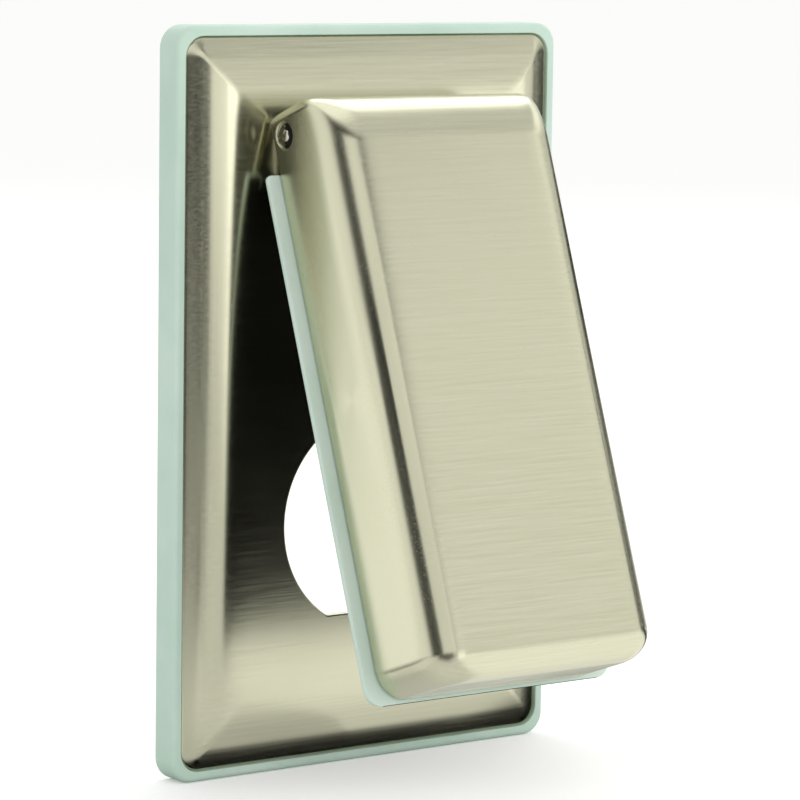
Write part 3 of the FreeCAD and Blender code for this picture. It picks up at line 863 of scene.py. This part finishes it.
paper = add_node(tree, "ShaderNodeBsdfDiffuse", {"Color": srgb("E6E6E4")})
glow = add_node(tree, "ShaderNodeEmission", {"Color": (1, 1, 1, 1), "Strength": 0.3})
lit = add_node(tree, "ShaderNodeAddShader", {0: paper.outputs[0], 1: glow.outputs[0]})
image = add_node(tree, "ShaderNodeEmission", {"Color": (1, 1, 1, 1), "Strength": part["mirrored"]})
in_steel = add_node(tree, "ShaderNodeMixShader", {
    0: path.outputs["Is Glossy Ray"], 1: paper.outputs[0], 2: image.outputs[0]})
shown = add_node(tree, "ShaderNodeMixShader", {
    0: path.outputs["Is Camera Ray"], 1: in_steel.outputs[0], 2: lit.outputs[0]})
add_node(tree, "ShaderNodeOutputMaterial", {"Surface": shown.outputs[0]})
floor.data.materials.append(floor_material)

# %% [markdown]
# The surrounding as the steel sees it is a white room behind and above, and a dark studio ahead and to
# the sides. A smooth step along one direction gives each side of the room, and the brighter of them
# counts. Other light sees one even level, so that colours come out as they are written.

# %% Surrounding
ROOM_LEVEL, STUDIO_LEVEL = 0.85, 0.03
world = bpy.data.worlds.new("studio")
world.use_nodes = True
bpy.context.scene.world = world
tree = world.node_tree
tree.nodes.clear()
heading = add_node(tree, "ShaderNodeTexCoord").outputs["Generated"]
brightest = STUDIO_LEVEL
for toward, start, full, brightness in (
        ((-0.34, 0.94, 0), 0.12, 0.42, 1.0),    # behind, a little to the left
        ((0.35, 0, 0.94), 0.55, 0.78, 0.7),     # above, to the right
        ((-0.1, 0.2, 0.97), 0.66, 0.86, 1.3)):  # overhead
    facing = add_node(tree, "ShaderNodeVectorMath", {0: heading, 1: toward}, operation="DOT_PRODUCT")
    side = add_node(tree, "ShaderNodeMapRange", {
        "Value": facing.outputs["Value"], "From Min": start, "From Max": full,
        "To Min": 0.0, "To Max": brightness}, interpolation_type="SMOOTHSTEP")
    brightest = add_node(tree, "ShaderNodeMath", {
        0: side.outputs[0], 1: brightest}, operation="MAXIMUM").outputs[0]
mirrored = add_node(tree, "ShaderNodeBackground", {"Color": (1.0, 1.0, 1.0, 1.0), "Strength": brightest})
plain_white = add_node(tree, "ShaderNodeBackground", {"Color": (1.0, 1.0, 1.0, 1.0), "Strength": 1.0})
room = add_node(tree, "ShaderNodeBackground", {"Color": (1.0, 1.0, 1.0, 1.0), "Strength": ROOM_LEVEL})
path = add_node(tree, "ShaderNodeLightPath")
glossy = add_node(tree, "ShaderNodeMath", {
    0: path.outputs["Is Glossy Ray"], 1: path.outputs["Is Transmission Ray"]}, operation="MAXIMUM")
unseen = add_node(tree, "ShaderNodeMixShader", {
    0: glossy.outputs[0], 1: room.outputs[0], 2: mirrored.outputs[0]})
surround = add_node(tree, "ShaderNodeMixShader", {
    0: path.outputs["Is Camera Ray"], 1: unseen.outputs[0], 2: plain_white.outputs[0]})
add_node(tree, "ShaderNodeOutputWorld", {"Surface": surround.outputs[0]})


# %% [markdown]
# The lamps are large soft boxes. Each is placed by the direction it is seen in from the object, and its
# brightness is given as the brightness of its surface, so 1 is a white card. Area lamps take watts, which
# is that brightness times pi times the area. The right box and the low strip stand on the floor, where
# the plate mirrors them. The side, front and back boxes hang higher.

# %% Soft boxes
def soft_box(name, azimuth, elevation, distance, width, height, brightness):
    """Azimuth 0 stands in front of the object and 90 to its right."""
    data = bpy.data.lights.new(name, "AREA")
    data.shape = "RECTANGLE"
    data.size, data.size_y = width, height
    data.energy = brightness * math.pi * width * height
    lamp = bpy.data.objects.new(name, data)
    bpy.context.scene.collection.objects.link(lamp)
    a, e = math.radians(azimuth), math.radians(elevation)
    lamp.location = Vector((math.sin(a) * math.cos(e), -math.cos(a) * math.cos(e), math.sin(e))) * distance
    lamp.rotation_euler = lamp.location.to_track_quat("Z", "Y").to_euler()
    lamp.visible_camera = False
    return lamp


# Azimuth and elevation are in degrees. Distance, width and height are in metres. Brightness comes last.
soft_box("right_box", 37, 14, 0.7, 0.8, 0.47, 0.78)
soft_box("side_box", 98, 26, 0.9, 0.86, 0.46, 0.7)
soft_box("strip_box", 9, 3.5, 0.6, 0.29, 0.19, 0.5)
soft_box("front_box", -17, 26, 0.9, 0.7, 0.46, 0.95)
soft_box("back_box", 145, 46, 0.9, 0.75, 0.55, 1.5)

# %% View settings
bpy.context.scene.view_settings.view_transform = "Standard"
